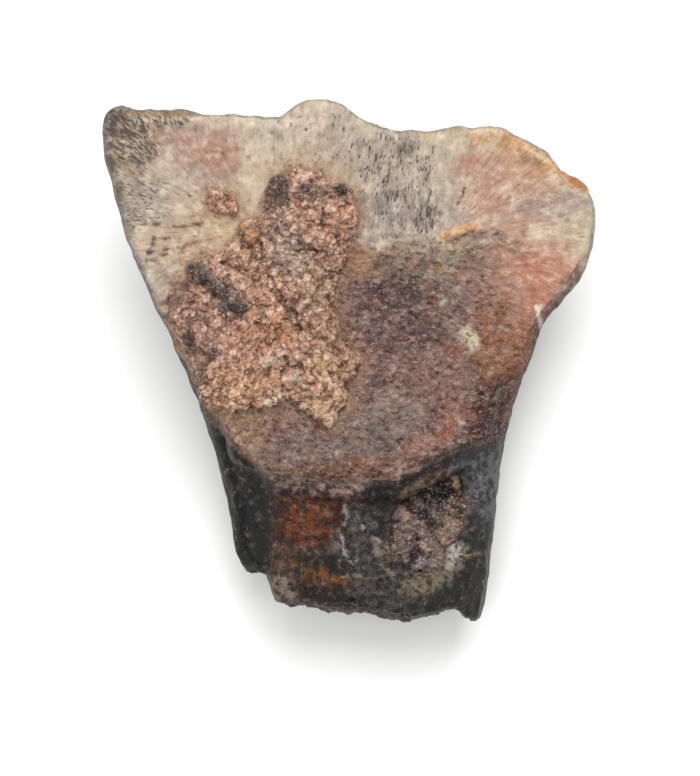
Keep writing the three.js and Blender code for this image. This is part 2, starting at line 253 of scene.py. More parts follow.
class Face:
    """Where the parts of the tooth are at each of its points, as shares from 0 to 1."""

    def __init__(self, points, normals):
        self.up = rise(normals[:, 2], 0.05, 0.5)
        self.seen = rise(normals[:, 2], -0.15, 0.2)
        self.loose = wander(points, 0.45, 1.6, 11)
        self.close = wander(points, 0.22, 0.9, 13)
        self.root = inside(self.close, ROOT, 0.5)
        self.hollow = inside(self.loose, DISH, 2.4) * (1 - self.root)
        self.dish = rise(inside(self.loose, DISH, 4.0) + 0.5 * noise(points, 0.9, 3, 12), 0.25, 0.8)
        self.dish *= 1 - self.root
        self.wall = (1 - self.dish) * (1 - self.root)


def tooth_relief(points, normals):
    """How far each point of the smooth tooth moves out along its normal."""
    face = Face(points, normals)
    loose, close = face.loose, face.close
    height = 0.16 * noise(points, 5.0, 2, 1) + 0.07 * noise(points, 1.7, 2, 2)

    # The fibrous wall is nearly smooth
    wall = 0.035 * noise(fibre_places(points) * 0.5, 1.0, 2, 3) + 0.03 * noise(points, 0.9, 2, 4)
    # The dish is a wrinkled, crumbly floor a little below the edge of the wall
    leaning = points @ np.array(((0.94, -0.34, 0), (0.55, 1.5, 0), (0, 0, 1)))
    floor = -0.16 + 0.12 * noise(points, 1.4, 2, 6) + 0.12 * noise(leaning, 0.70, 2, 7)
    # The root is smoother, with shallow pits
    shaft = 0.06 * noise(points, 0.9, 3, 8) - 0.09 * rise(noise(points, 0.7, 1, 9), 0.45, 0.8)

    local = (1 - face.hollow - face.root) * wall + face.hollow * floor + face.root * shaft
    local += 0.34 * near(loose, LIP_ROLL, 1.7, 1.5) * (1 - face.root)
    local -= 0.30 * near(close, LIP, 0.5, 0.5)
    local -= 0.9 * inside(close, FLANK, 0.5)
    local -= 1.7 * inside(close, NECK, 1.4)
    local -= 1.1 * inside(close, WING_CHIP, 0.5)
    local += 0.20 * near(close, WING_RIDGE, 0.6, 0.6)
    local -= 0.5 * near(points, WING_PIT, 0.5, 0.5)
    local += 0.25 * inside(close, PLANK, 0.4)
    local += 0.30 * near(loose, POCKET_LEDGE, 0.7, 0.5)
    local -= 1.6 * inside(points, BOTTOM_LEDGE, 0.3)
    for thickness, outline in FLAKES:
        local += thickness * inside(close, outline, 0.18)

    # The hidden outside has low furrows along the tooth, and the root's end is a rough break
    furrows = 0.12 * noise(points * (1, 0.22, 1), 1.4, 3, 14)
    furrows -= 0.10 * rise(noise(points, 2.2, 2, 15), 0.5, 0.8)
    broken = rise(-normals[:, 1], 0.55, 0.85) * rise(-points[:, 1], 16, 20)
    outside = furrows + broken * (0.35 * noise(points, 1.5, 3, 16) - 0.25)
    return height + face.up * local + (1 - face.up) * outside


# What mottles each part of the tooth, and then its stains
WALL_MOTTLES = [("#a88a7c", 0.35, 1.2, 3, 24, 0.1, 0.7), ("#c9bda8", 0.5, 1.3, 3, 25, 0.1, 0.7)]
DISH_MOTTLES = [("#875332", 0.45, 1.1, 2, 26, 0.3, 0.8), ("#604e59", 0.45, 1.4, 2, 27, 0.3, 0.8)]
ROOT_MOTTLES = [("#080808", 0.65, 0.9, 3, 28, 0.1, 0.5), ("#7f7469", 0.30, 0.8, 3, 29, 0.3, 0.8)]
OUTSIDE_MOTTLES = [("#120b0b", 0.75, 4.0, 3, 33, 0.0, 0.6), ("#7c4e26", 0.5, 3.2, 3, 34, 0.25, 0.8)]

WALL_STAINS = [
    ("#b7a893", 0.9, 1.8, [-102, 210, -85, 217, -28, 221, -17, 174, -78, 115, -98, 91, -109, 147]),
    ("#a8937c", 0.9, 1.8, [-166, 150, -98, 142, -94, 102, -143, 84, -190, 91, -190, 129]),
    ("#c0ac89", 0.6, 1, [-118, 132, -98, 123, -102, 105, -123, 111]),
    ("#91877e", 0.85, 1.6, [-213, 183, -193, 178, -163, 156, -168, 133, -199, 115, -210, 147]),
    ("#998e80", 0.7, 1.4, [-188, 91, -134, 91, -148, 57, -159, 25, -177, 57]),
    ("#9f7667", 0.85, 2.2, [-172, 204, -143, 210, -102, 210, -98, 176, -120, 161, -150, 172]),
    ("#a16c5d", 0.55, 1.4, [-129, 201, -103, 193, -102, 176, -123, 179]),
    ("#998981", 0.75, 1.4, [-152, 176, -105, 170, -102, 142, -129, 147, -147, 159]),
    ("#85725c", 0.5, 1.3, [-221, 226, -147, 221, -163, 201, -188, 168, -217, 183]),
    ("#3d2b1c", 0.6, 1.4, [-224, 233, -192, 228, -201, 202, -221, 188]),
    ("#5f4e3e", 0.6, 1.2, [-221, 192, -202, 192, -202, 150, -213, 147]),
    ("#8d857d", 0.6, 1.1, [-78, 221, -58, 221, -58, 202, -76, 202]),
    ("#a39284", 0.6, 1.6, [-28, 219, 1, 221, 3, 169, -24, 178]),
    ("#ada08d", 0.7, 1.4, [3, 226, 41, 210, 109, 213, 107, 183, 46, 192, 3, 201]),
    ("#a89c90", 0.8, 1.8, [3, 196, 32, 205, 73, 183, 91, 147, 82, 116, 1, 112]),
    ("#7c7370", 0.75, 2, [1, 150, 46, 156, 93, 139, 75, 114, 1, 114]),
    ("#625955", 0.6, 0.9, [35, 208, 62, 206, 62, 189, 39, 188]),
    ("#a59578", 0.8, 1, [60, 211, 105, 213, 109, 200, 64, 197]),
    ("#b1a28d", 0.7, 1.2, [75, 184, 102, 183, 102, 150, 78, 147]),
    ("#aa8370", 0.9, 1.8, [107, 193, 147, 192, 174, 178, 195, 142, 154, 109, 122, 122, 98, 147]),
    ("#ae7363", 0.6, 0.9, [98, 186, 114, 186, 114, 172, 102, 172]),
    ("#a36f5e", 0.6, 1.2, [122, 163, 143, 165, 148, 147, 127, 141]),
    ("#b88752", 0.85, 1.2, [109, 207, 140, 213, 165, 199, 183, 184, 195, 161, 181, 163, 161, 183, 136, 195,
        116, 192]),
    ("#b58862", 0.5, 1.6, [136, 193, 172, 181, 192, 156, 166, 152, 139, 168]),
    ("#7c603b", 0.7, 0.9, [154, 192, 170, 188, 172, 177, 156, 179]),
    ("#876d4b", 0.5, 0.9, [122, 206, 143, 206, 141, 194, 125, 193]),
    ("#8c7f78", 0.6, 1.4, [134, 132, 163, 152, 208, 148, 219, 136, 186, 127]),
    ("#ae9e86", 0.9, 1.2, [186, 123, 217, 143, 228, 111, 211, 85, 201, 89, 186, 102]),
]
DISH_STAINS = [
    ("#8b7869", 0.8, 1.8, [1, 114, 154, 118, 163, 75, 82, 66, 1, 75]),
    ("#a28d78", 0.7, 1.2, [1, 118, 73, 118, 136, 120, 136, 105, 73, 98, 6, 96]),
    ("#674e4c", 0.8, 2.4, [-17, 75, 46, 75, 85, 30, 64, -6, 1, -19, -22, 21]),
    ("#3f3334", 0.7, 1.8, [24, 80, 71, 84, 80, 58, 50, 46, 21, 58]),
    ("#4e3c3d", 0.5, 1.4, [46, 34, 82, 37, 86, 13, 55, 10]),
    ("#8b6d5f", 0.7, 1.8, [82, 89, 158, 93, 163, 53, 109, 50]),
    ("#8b5d43", 0.8, 2.2, [122, 57, 172, 50, 166, 1, 141, -42, 116, -30, 105, 21]),
    ("#776963", 0.8, 2.4, [-53, -44, -4, -26, 64, -26, 73, -69, 28, -93, -44, -96, -60, -75]),
    ("#816159", 0.7, 1.8, [40, 10, 109, 12, 112, -37, 46, -40]),
    ("#91755e", 0.8, 1.6, [-138, -30, -98, -35, -75, -50, -73, -75, -89, -84, -103, -75, -123, -55]),
    ("#724646", 0.6, 0.8, [-76, -50, -60, -50, -58, -66, -73, -69]),
    ("#9b623f", 0.6, 1.2, [147, 28, 168, 30, 161, 3, 143, -17, 138, -3]),
    ("#814f3b", 0.5, 1.4, [79, -37, 123, -37, 118, -64, 82, -66]),
    ("#91512e", 0.7, 0.7, [82, -50, 95, -46, 97, -68, 85, -69]),
    ("#98563f", 0.5, 0.7, [84, 21, 98, 19, 96, 6, 87, 8]),
    ("#785542", 0.6, 1.2, [-105, -75, -78, -89, -17, -93, -17, -103, -78, -98]),
    ("#8b5433", 0.6, 1, [-12, -84, 40, -85, 39, -98, -8, -98]),
    ("#57341f", 0.7, 1.2, [-44, -91, 1, -93, 46, -87, 82, -75, 87, -84, 46, -100, 1, -105, -44, -103]),
    ("#9d6953", 0.6, 0.9, [46, -68, 84, -62, 85, -76, 53, -82]),
    ("#2e0908", 0.9, 1.3, [118, -21, 145, -15, 148, -55, 132, -71, 102, -75]),
    ("#704a2a", 0.7, 0.8, [136, -26, 154, -12, 148, -55, 138, -55]),
    ("#a37543", 0.7, 1.6, [1, 109, 21, 107, 24, 82, 10, 75, 1, 85]),
    ("#996a42", 0.5, 0.9, [35, 105, 55, 105, 53, 91, 39, 89]),
    ("#968777", 0.6, 1, [40, 105, 68, 105, 68, 89, 44, 87]),
    ("#a0917e", 0.7, 0.9, [75, 100, 102, 102, 103, 82, 78, 80]),
    ("#af9979", 0.7, 0.8, [80, 108, 109, 112, 107, 96, 87, 94]),
]
# Small pale spots on the dish
DISH_SPOTS = [
    ("#c8bda0", 0.95, 0.45, [100, 33, 108, 34, 112, 28, 118, 24, 118, 15, 111, 13, 102, 22]),
    ("#a59985", 0.6, 0.5, [95, 28, 103, 26, 107, 15, 98, 17]),
    ("#b3aca0", 0.8, 0.35, [82, 60, 87, 60, 88, 54, 83, 54]),
    ("#afa89c", 0.7, 0.35, [94, 68, 99, 69, 100, 63, 94, 63]),
]
# The salmon stain runs across the edge of the dish
SALMON_STAINS = [
    ("#ac7a64", 0.85, 3.8, [132, 103, 179, 111, 202, 91, 195, 71, 177, 40, 156, 40, 136, 78]),
    ("#a66953", 0.6, 2, [166, 102, 195, 94, 202, 82, 183, 58, 166, 53, 158, 78]),
]
SALMON = SALMON_STAINS[0][3]
ROOT_STAINS = [
    ("#252424", 0.9, 1.2, [82, -69, 154, -51, 145, -249, 46, -249, 50, -204, 86, -195, 102, -159]),
    ("#5f5f63", 0.8, 1.4, [102, -78, 141, -66, 138, -137, 122, -145, 109, -123]),
    ("#433d39", 0.8, 1.2, [-6, -177, 42, -177, 64, -204, 73, -237, -4, -217]),
    ("#4e2008", 0.9, 1.6, [-66, -116, -3, -114, -1, -158, -33, -172, -69, -166, -73, -137]),
    ("#763b08", 0.5, 1.4, [-57, -123, -19, -123, -17, -156, -44, -164, -58, -150]),
    ("#9b7d70", 0.85, 1.3, [-78, -102, -44, -107, 12, -111, 10, -120, -35, -118, -66, -114]),
    ("#201218", 0.8, 0.9, [-98, -89, -82, -100, -68, -114, -62, -141, -76, -141]),
    ("#3d0f08", 0.8, 1, [-17, -123, -3, -123, -1, -150, -13, -152]),
    ("#470808", 0.8, 0.4, [6, -118, 16, -120, 14, -127, 7, -126]),
    ("#4b4440", 0.85, 0.6, [-3, -128, 10, -130, 26, -143, 24, -177, 4, -183, -4, -170]),
    ("#726761", 0.7, 0.5, [-16, -151, -7, -151, -5, -170, -15, -170]),
    ("#180f0f", 0.95, 0.6, [15, -109, 53, -109, 55, -120, 42, -127, 31, -134, 19, -127]),
    ("#251a17", 0.9, 0.8, [39, -102, 73, -89, 100, -73, 109, -80, 82, -96, 50, -111]),
    ("#5e402d", 0.6, 0.8, [107, -64, 141, -57, 139, -75, 112, -80]),
    ("#583b2d", 0.85, 0.8, [-73, -165, -50, -168, -46, -195, -71, -197]),
    ("#1f0f08", 0.9, 0.7, [-48, -170, -6, -174, -6, -190, -44, -183]),
    ("#784708", 0.85, 1.1, [-51, -179, -32, -183, -8, -191, 6, -200, 2, -205, -25, -200, -42, -194]),
    ("#7c6b59", 0.85, 0.8, [-75, -193, -51, -193, -46, -213, -68, -219]),
    ("#1e0b08", 0.85, 0.7, [-48, -201, -6, -202, -3, -215, -44, -217]),
    ("#080808", 0.96, 0.9, [-138, -33, -122, -55, -102, -78, -82, -102, -73, -130, -72, -164, -76, -202,
        -112, -204, -143, -51]),
    ("#080808", 0.95, 0.4, [-8, -217, 3, -212, 12, -217, 28, -224, 55, -229, 53, -233, 26, -229, 12, -223,
        1, -221]),
    ("#7a6148", 0.9, 0.4, [-21, -223, 1, -224, 26, -229, 51, -234, 48, -240, -17, -229]),
    ("#7b6d59", 0.85, 0.5, [22, -159, 30, -166, 37, -183, 46, -193, 64, -197, 76, -193, 87, -181, 102, -166,
        109, -168, 103, -184, 91, -197, 78, -206, 62, -211, 46, -206, 35, -193, 26, -179]),
    ("#b8b2a8", 0.8, 0.5, [82, -170, 102, -161, 105, -174, 91, -186, 80, -183]),
    ("#705643", 0.85, 0.5, [44, -118, 57, -111, 78, -100, 91, -94, 93, -102, 75, -111, 57, -121, 48, -125]),
]
# Thin marks, as (colour, cover, width, softness, line)
MARKS = [
    # Painted highlights: two pale lines along the ridge of the top rim
    ("#d3c9b9", 0.6, 0.36, 0.4, [-195, 218, -179, 218, -154, 219, -132, 220]),
    ("#d5ccbb", 0.4, 0.25, 0.3, [-98, 220, -53, 217, -4, 216]),
    ("#4e3620", 0.8, 0.7, 0.7, [-213, 229, -179, 226, -138, 225]),
    ("#936f43", 0.6, 0.5, 0.5, [-201, 224, -174, 222, -147, 221]),
    ("#1a110b", 0.9, 1.6, 1.5, [-223, 228, -204, 231]),
    ("#2d241b", 0.75, 1.1, 1.3, [-222, 222, -220, 183, -210, 142]),
    ("#605347", 0.6, 0.8, 0.8, [-213, 156, -199, 106, -179, 60, -156, 10]),
    ("#120808", 0.9, 0.5, 0.5, [-208, 120, -197, 98, -186, 75, -181, 62]),
    ("#120808", 0.8, 0.5, 0.5, [-174, 48, -161, 26]),
    ("#1a120f", 0.85, 1.1, 1, [-154, 3, -138, -30, -122, -58]),
    ("#20232c", 0.8, 1, 0.9, [-136, -13, -129, -26]),
    ("#d3bd99", 0.6, 0.3, 0.35, [158, 193, 183, 179, 194, 165, 204, 155, 219, 148]),
    ("#e0dacf", 0.9, 0.3, 0.3, [37, 211, 42, 202]),
    ("#dbd1c7", 0.95, 0.34, 0.3, [169, 51, 171, 42, 174, 32]),
    ("#c79a6b", 0.9, 0.8, 0.4, [83, 114, 98, 119, 113, 123]),
    # Painted shadow: a dark line under the lower edge of the plank
    ("#5d3815", 0.8, 0.2, 0.2, [82, 108, 98, 112, 114, 118]),
    ("#c3b8a5", 0.6, 0.9, 0.9, [3, 114, 28, 115, 55, 114, 78, 117]),
    # Painted shade in the crease under the lip
    ("#3d2924", 0.6, 0.4, 0.5, [-105, -80, -82, -97, -44, -106, 4, -109, 31, -107, 57, -99]),
    ("#74767c", 0.6, 0.6, 0.6, [93, -95, 105, -90]),
    # Painted shadow: a black line under the right end of the lip
    ("#1f140f", 0.8, 1.3, 1.4, [71, -94, 102, -81, 143, -68]),
    ("#999893", 0.85, 0.22, 0.22, [-4, -128, -2, -137, -4, -147]),
    ("#a3a19c", 0.85, 0.22, 0.22, [5, -140, 11, -144, 13, -150]),
    ("#a3a19c", 0.85, 0.22, 0.22, [-7, -152, -6, -162, -4, -173, 4, -182, 7, -176]),
    ("#98948b", 0.85, 0.22, 0.22, [20, -156, 33, -166]),
    ("#998f7a", 0.6, 0.22, 0.25, [-6, -193, 12, -193, 26, -194]),
    ("#917c59", 0.7, 0.2, 0.2, [100, -176, 118, -173]),
    ("#4e0808", 0.85, 0.3, 0.3, [-68, -215, -48, -220, -17, -222]),
]
# Hairline cracks in the ivory, pale brown first and then nearly black
CRACKS = [
    ("#996f3f", 0.30, [[-156, 122, -129, 126, -110, 123], [-152, 105, -130, 110, -114, 114]]),
    ("#392a20", 0.20, [
        [-177, 125, -156, 123, -134, 125], [-170, 112, -141, 114, -120, 118],
        [-190, 96, -170, 101, -150, 104, -138, 109],
        [-188, 89, -174, 94, -163, 98], [-174, 114, -179, 103, -183, 94, -190, 87],
        [-147, 132, -140, 132], [-179, 69, -166, 75, -154, 82], [-181, 62, -172, 68, -165, 73],
        [-204, 118, -186, 125, -165, 133], [37, 180, 31, 154], [105, 158, 96, 138],
        [46, 192, 43, 172],
    ]),
]
# Fresh breaks at the wing and the neck. The neck's dark brown is partly painted shade on its sunken,
# side-facing facet.
CHIP_STAINS = [
    ("#a56a3d", 0.95, 0.4, [184, 181, 199, 171, 213, 166, 226, 150, 206, 156, 193, 161]),
    ("#af724c", 0.9, 0.3, [200, 161, 207, 160, 206, 155, 202, 156]),
    # Partly painted shade on the sunken neck facet
    ("#4f392e", 0.9, 0.9, NECK),
]

# Where the ground has darkened the ends of the fibres
BURNT = [-226, 237, -134, 231, -143, 215, -170, 201, -190, 168, -206, 141, -224, 174]

# How many slits the wall has here and there, as (share, outline)
SLIT_AREAS = [
    (1.45, [-221, 226, -143, 221, -159, 201, -186, 172, -219, 178]),
    (1.00, [-213, 183, -166, 165, -170, 124, -202, 120]),
    (0.45, [-179, 210, -102, 211, -100, 176, -134, 166]),
    (0.60, [-152, 176, -102, 170, -89, 124, -112, 142]),
    (0.08, [-102, 210, -73, 201, -78, 160, -93, 142, -102, 168]),
    (0.15, [-166, 147, -98, 133, -102, 102, -179, 91, -186, 120]),
    (0.75, [-58, 214, 1, 228, 3, 174, -44, 178]),
    (1.00, [-3, 201, 64, 210, 91, 178, 93, 133, 71, 107, -3, 111]),
    (0.20, [60, 213, 105, 215, 109, 199, 64, 197]),
    (0.50, [78, 192, 109, 183, 102, 133, 82, 124]),
    (0.55, [102, 178, 154, 160, 136, 127, 95, 124]),
    (0.25, [109, 210, 190, 183, 190, 156, 154, 174]),
    (0.35, [134, 130, 163, 154, 219, 147, 221, 130]),
    (0.30, [183, 118, 219, 127, 224, 102, 204, 85]),
]
# Where a film of sand lies on the tooth, as (share, outline)
SAND_AREAS = [
    (0.9, [-159, 24, -123, 21, -120, -13, -130, -30, -147, -8]),
    (0.5, [-130, -30, -94, -37, -78, -50, -78, -68, -89, -78, -105, -69, -123, -51]),
    (0.5, [-102, 142, -78, 147, -78, 111, -102, 102]),
    (0.5, [-134, 111, -89, 111, -102, 85, -143, 85]),
]


def tooth_stains(points, normals, sand_gap, mud_gap):
    """The tooth's colours, and what else its material asks for at each point."""
    face = Face(points, normals)
    loose, close, seen = face.loose, face.close, face.seen
    blotch = noise(points, 1.5, 3, 21)
    ragged = noise(points, 0.8, 3, 30)

    wall = mottled(all_over("#a99987", points), points, [("#968c84", 0.5, 3.0, 2, 23, 0.0, 0.7)])
    wall = stained(wall, loose, WALL_STAINS, 0.4 * ragged)
    wall = mottled(wall, points, WALL_MOTTLES)
    fibres = fibre_places(points)
    charred = inside(loose, BURNT, 2.4) * rise(noise(fibres * (0.6, 0.5, 0.5), 1.0, 2, 36), -0.2, 0.5)
    wall = painted(wall, "#2e1f12", 0.35 * charred)
    rusty = inside(loose, BURNT, 2.0) * rise(noise(fibres * 0.4, 1.0, 2, 37), 0.2, 0.6)
    wall = painted(wall, "#977245", 0.5 * rusty)
    dish = stained(all_over("#79635a", points), loose, DISH_STAINS, 0.6 * ragged)
    dish = painted(dish, "#423334", 0.5 * rise(blotch, 0.15, 0.8))
    dish = painted(dish, "#a0877c", 0.5 * rise(-blotch, 0.2, 0.8))
    dish = mottled(dish, points, DISH_MOTTLES)
    dish = stained(dish, close, DISH_SPOTS, 0.6 * ragged)
    root = stained(all_over("#39322d", points), close, ROOT_STAINS, ragged)
    root = mottled(root, points, ROOT_MOTTLES)

    colours = wall * face.wall[:, None] + dish * face.dish[:, None] + root * face.root[:, None]
    colours = stained(colours, loose, SALMON_STAINS, 0.3 * ragged)
    colours = stained(colours, close, CHIP_STAINS, 0.3 * ragged)
    drawn = wander(points, 0.10, 0.7, 17)
    # The marks include painted highlights on the top rim, and painted shade and shadow under the lip and
    # the plank
    for hex_colour, cover, width, soft, line in MARKS:
        colours = painted(colours, hex_colour, cover * near(drawn, line, width, soft))
    broken_up = rise(noise(points, 0.8, 2, 18), -0.5, 0.2)
    for hex_colour, width, lines in CRACKS:
        for line in lines:
            colours = painted(colours, hex_colour, broken_up * near(drawn, line, width, width))

    # Sand and rust have spread from the crust, and mud from the pocket
    halo = 1 - rise(sand_gap + ragged, 0.3, 2.0)
    colours = painted(colours, "#a9815b", 0.28 * halo * (1 - face.root))
    sand = 1 - rise(sand_gap + 0.5 * ragged, 0.0, 0.5)
    crumbs = noise(points, 0.7, 3, 31)
    sand = np.maximum(sand, rise(crumbs, 0.35, 0.55) * (1 - rise(sand_gap, 0.5, 2.4)))
    for share, outline in SAND_AREAS:
        sand = np.maximum(sand, inside(loose, outline, 1.2) * rise(crumbs, 0.55 - share, 0.75 - share))
    sandy = mottled(all_over("#a3876f", points), points, [("#7c624f", 1, 0.8, 3, 32, 0.0, 0.6)])
    colours += (sandy - colours) * (0.85 * sand)[:, None]
    mud = (1 - rise(mud_gap + 0.3 * ragged, 0.1, 0.6)) * face.root
    colours = painted(colours, "#584a3f", 0.8 * mud)

    # The hidden outside is dark and mottled, and paler where the enamel is thin near the rim
    outside = painted(all_over("#322721", points), "#5e4f42", 0.6 * rise(points[:, 1] + 5 * blotch, 4, 20))
    outside = mottled(outside, points, OUTSIDE_MOTTLES)
    outside = mottled(outside, points * (1, 0.3, 1), [("#7f776f", 0.45, 1.1, 3, 35, 0.35, 0.9)])
    outside = painted(outside, "#110b0d", 0.7 * rise(-points[:, 1] + 3 * blotch, 4, 12))
    # Painted shade: the face darkens where it turns down towards its edges, which gives the tooth a dark
    # rim
    colours = painted(colours, "#2f251e", 0.75 * (1 - rise(normals[:, 2], 0.1, 0.5)))
    colours = colours * seen[:, None] + outside * (1 - seen)[:, None]

    slits = np.full(len(points), 0.3)
    for share, outline in SLIT_AREAS:
        slits += (share - slits) * inside(loose, outline, 1.4)
    parts = {
        "slits": slits * (1 - halo * 0.5),
        "crumb": face.dish * seen * (1 - 0.8 * inside(loose, SALMON, 3.0)),
        "slate": face.root * seen + (1 - seen),
        "sand": np.maximum(sand, mud) * seen,
    }
    return colours, parts


# The crust's dark and pale pebbles as (place, radius, colour), and cracks between its clumps
PEBBLES = [
    ([-63, 159], 0.95, "#4e3f3c"), ([-70, 152], 0.6, "#52423f"), ([-39, 157], 0.5, "#41332f"),
    ([-31, 148], 0.36, "#52413b"), ([-22, 152], 0.3, "#59463f"), ([-7, 156], 0.55, "#2c1e1a"),
    ([-141, 85], 0.45, "#3c3133"), ([-132, 76], 0.5, "#2f2527"), ([-122, 68], 0.42, "#473b3d"),
    ([-112, 61], 0.5, "#382c2e"), ([-104, 51], 0.45, "#2e2124"), ([-114, 49], 0.35, "#4f4344"),
    ([-144, 22], 0.7, "#36241f"), ([-122, 8], 0.55, "#3d2629"), ([-95, 49], 0.5, "#382d2c"),
    ([-88, 114], 0.75, "#a37352"), ([-75, 1], 0.55, "#bbaa99"), ([-68, 2], 0.4, "#b4a08f"),
    ([-48, -14], 0.42, "#9a9891"), ([-73, -37], 0.4, "#cdbba8"), ([-98, 123], 0.5, "#a9805f"),
]
CRUST_CRACKS = [
    [-81, 110, -78, 96, -73, 80, -60, 57, -50, 46, -46, 32, -39, 22],
    [-59, 6, -53, -3, -40, -5], [-123, -40, -100, -46, -86, -40],
    [-53, -31, -44, -40, -36, -50], [-33, 24, -20, 22], [-98, 118, -89, 107, -82, 94],
    [-51, 114, -35, 102, -24, 100], [-114, 91, -102, 85, -93, 84], [-17, 16, -6, 10],
    [-76, 30, -85, 39, -78, 46], [-28, 66, -21, 76, -13, 78],
]
CRUST_STAINS = [
    ("#b58c6f", 0.6, 0.9, [-78, 163, -66, 174, -40, 176, -39, 165, -62, 159]),
    ("#aa7d67", 0.8, 1.6, [-58, 145, 1, 150, 5, 111, -66, 114]),
    ("#7e6763", 0.7, 1.1, [-76, 150, -57, 143, -51, 112, -75, 112]),
    ("#92867b", 0.9, 1.4, [-76, 114, -44, 122, -28, 91, -44, 73, -69, 85]),
    ("#947e69", 0.7, 1.4, [-48, 91, -4, 94, -4, 52, -39, 40]),
    ("#774e3f", 0.8, 1.2, [-158, 58, -143, 60, -134, 30, -141, 16, -158, 22]),
    ("#a8937e", 0.85, 1, [-154, 19, -127, 17, -122, -12, -139, -15]),
    ("#b7815c", 0.7, 1.8, [-109, 57, -57, 57, -50, 12, -102, 10]),
    ("#6e352a", 0.5, 0.9, [-85, 40, -71, 39, -71, 24, -84, 26]),
    ("#71534c", 0.7, 0.9, [-65, 12, -42, 10, -42, -10, -60, -6]),
    ("#ae8d6b", 0.85, 1.4, [-40, 28, 6, 15, 4, -33, -13, -57, -44, -44, -48, 1]),
    ("#b2865e", 0.7, 1.4, [-123, -4, -76, -3, -73, -44, -122, -44]),
    ("#bd7c55", 0.7, 0.8, [-6, 145, 7, 141, 6, 127, -4, 129]),
    ("#be7c53", 0.7, 0.8, [-82, -3, -62, -3, -62, -14, -78, -15]),
    ("#bd7d55", 0.7, 0.8, [-39, -10, -22, -10, -24, -26, -37, -26]),
    ("#ac8462", 0.7, 1.2, [-102, 130, -78, 132, -75, 94, -94, 85]),
    ("#bd876d", 0.7, 1, [-134, 159, -114, 161, -96, 150, -96, 132, -114, 129, -130, 136]),
    ("#927268", 0.6, 1.8, [-154, 57, -111, 60, -105, 16, -143, 16]),
]
DARK_PATCHES = [
    ("#3c3233", 0.8, 0.9, [-148, 90, -135, 91, -121, 78, -105, 69, -87, 51, -94, 40, -109, 41, -118, 55,
        -130, 63, -144, 72]),
    ("#4b3c36", 0.6, 0.9, [-60, 57, -46, 53, -44, 40, -57, 39]),
    ("#5a4b49", 0.7, 0.9, [-73, 166, -55, 170, -51, 143, -73, 139]),
    ("#62514b", 0.5, 0.9, [-45, 162, -13, 158, -15, 145, -40, 147]),
    ("#4a3b38", 0.7, 0.7, [-13, 161, 3, 159, 1, 147, -12, 148]),
]

# The sandstone's clumps and single grains
CLUMP_SIZE = 1.25
GRAIN_SIZE = 0.40
CRUST_MOTTLES = [("#b87c5b", 0.38, 1.5, 3, 50, 0.05, 0.6), ("#8c7468", 0.6, 1.9, 3, 51, 0.1, 0.7)]
CRUST_SPOTS = [("#59433d", 0.75, 1.0, 3, 52, 0.38, 0.75), ("#c0997c", 0.6, 0.8, 3, 53, 0.25, 0.75)]
# Which grains are pale or dark, as (colour, cover, start, end) of the grain's number
GRAIN_COLOURS = [
    ("#dbc9b7", 0.5, 0.86, 0.92), ("#4e3932", 0.45, 0.16, 0.08), ("#cfae96", 0.45, 0.5, 0.9),
    ("#815846", 0.45, 0.5, 0.1),
]


def sand_heights(points):
    """The sandstone's clumps and grains, as heights from about -1 to 1, and each grain's number."""
    bent = points + 0.16 * noise(points, 0.6, 2, 41)[:, None]
    clump, _ = grains_of(bent, CLUMP_SIZE, 42)
    grain, number = grains_of(bent + 0.05 * noise(points, 0.2, 1, 43)[:, None], GRAIN_SIZE, 44)
    return 1.1 - 2.2 * clump, 1.1 - 2.2 * grain, number


def creases(points):
    """1 along the winding creases between the sandstone's lumps."""
    return 1 - rise(np.abs(noise(points, 2.0, 3, 58)), 0.0, 0.11)


def crust_relief(points):
    """How far each point of the sandstone moves out along its normal."""
    clump, grain, _ = sand_heights(points)
    height = 0.34 * noise(points, 2.4, 3, 45) + 0.23 * clump + 0.11 * grain
    height += 0.19 * noise(points, 0.7, 3, 46) - 0.36 * creases(points) - 0.08
    ragged = wander(points, 0.3, 0.8, 47)
    for crack in CRUST_CRACKS:
        height -= 0.45 * near(ragged, crack, 0.35, 0.45)
    uneven = wander(points, 0.14, 0.7, 48)
    for place, radius, _ in PEBBLES:
        apart = distance_to_line(uneven, place) / radius
        dome = np.sqrt(np.clip(1 - apart**2, 0, 1))
        height += (0.5 * radius * dome - 0.5 * height) * rise(apart, 1.1, 0.85)
    return height


def crust_colours(points):
    """The sandstone's colours, from broad stains down to single grains, with painted shade in its creases,
    cracks and hollows and painted highlights on its crests.
    """
    loose = wander(points, 0.4, 1.2, 49)
    clump, grain, number = sand_heights(points)
    colours = mottled(all_over("#ae8773", points), points, CRUST_MOTTLES)
    ragged_edge = 0.5 * noise(points, 0.6, 3, 54)
    colours = stained(colours, loose, CRUST_STAINS, ragged_edge)
    colours = mottled(colours, points, CRUST_SPOTS)
    for hex_colour, cover, start, end in GRAIN_COLOURS:
        colours = painted(colours, hex_colour, cover * rise(number, start, end))
    # Painted shade in the creases between the lumps
    colours = painted(colours, "#47291a", 0.55 * creases(points))
    colours = stained(colours, loose, DARK_PATCHES, ragged_edge)
    # Painted highlights on the crests and painted shade in the hollows
    shading_level = 0.65 * clump + 0.38 * grain + noise(points, 0.7, 3, 46)
    colours = painted(colours, "#d8c2ad", 0.45 * rise(shading_level, 0.3, 1.4))
    colours = painted(colours, "#3d2015", 0.8 * rise(-shading_level, 0.2, 1.2))
    # Painted shade, nearly black, in the cracks between the clumps
    ragged = wander(points, 0.3, 0.8, 47)
    for crack in CRUST_CRACKS:
        colours = painted(colours, "#2a1208", 0.75 * near(ragged, crack, 0.25, 0.4))
    uneven = wander(points, 0.14, 0.7, 48)
    for place, radius, hex_colour in PEBBLES:
        apart = distance_to_line(uneven, place) / radius
        colours = painted(colours, hex_colour, 0.85 * (1 - rise(apart, 0.8, 1.1)))
    return colours


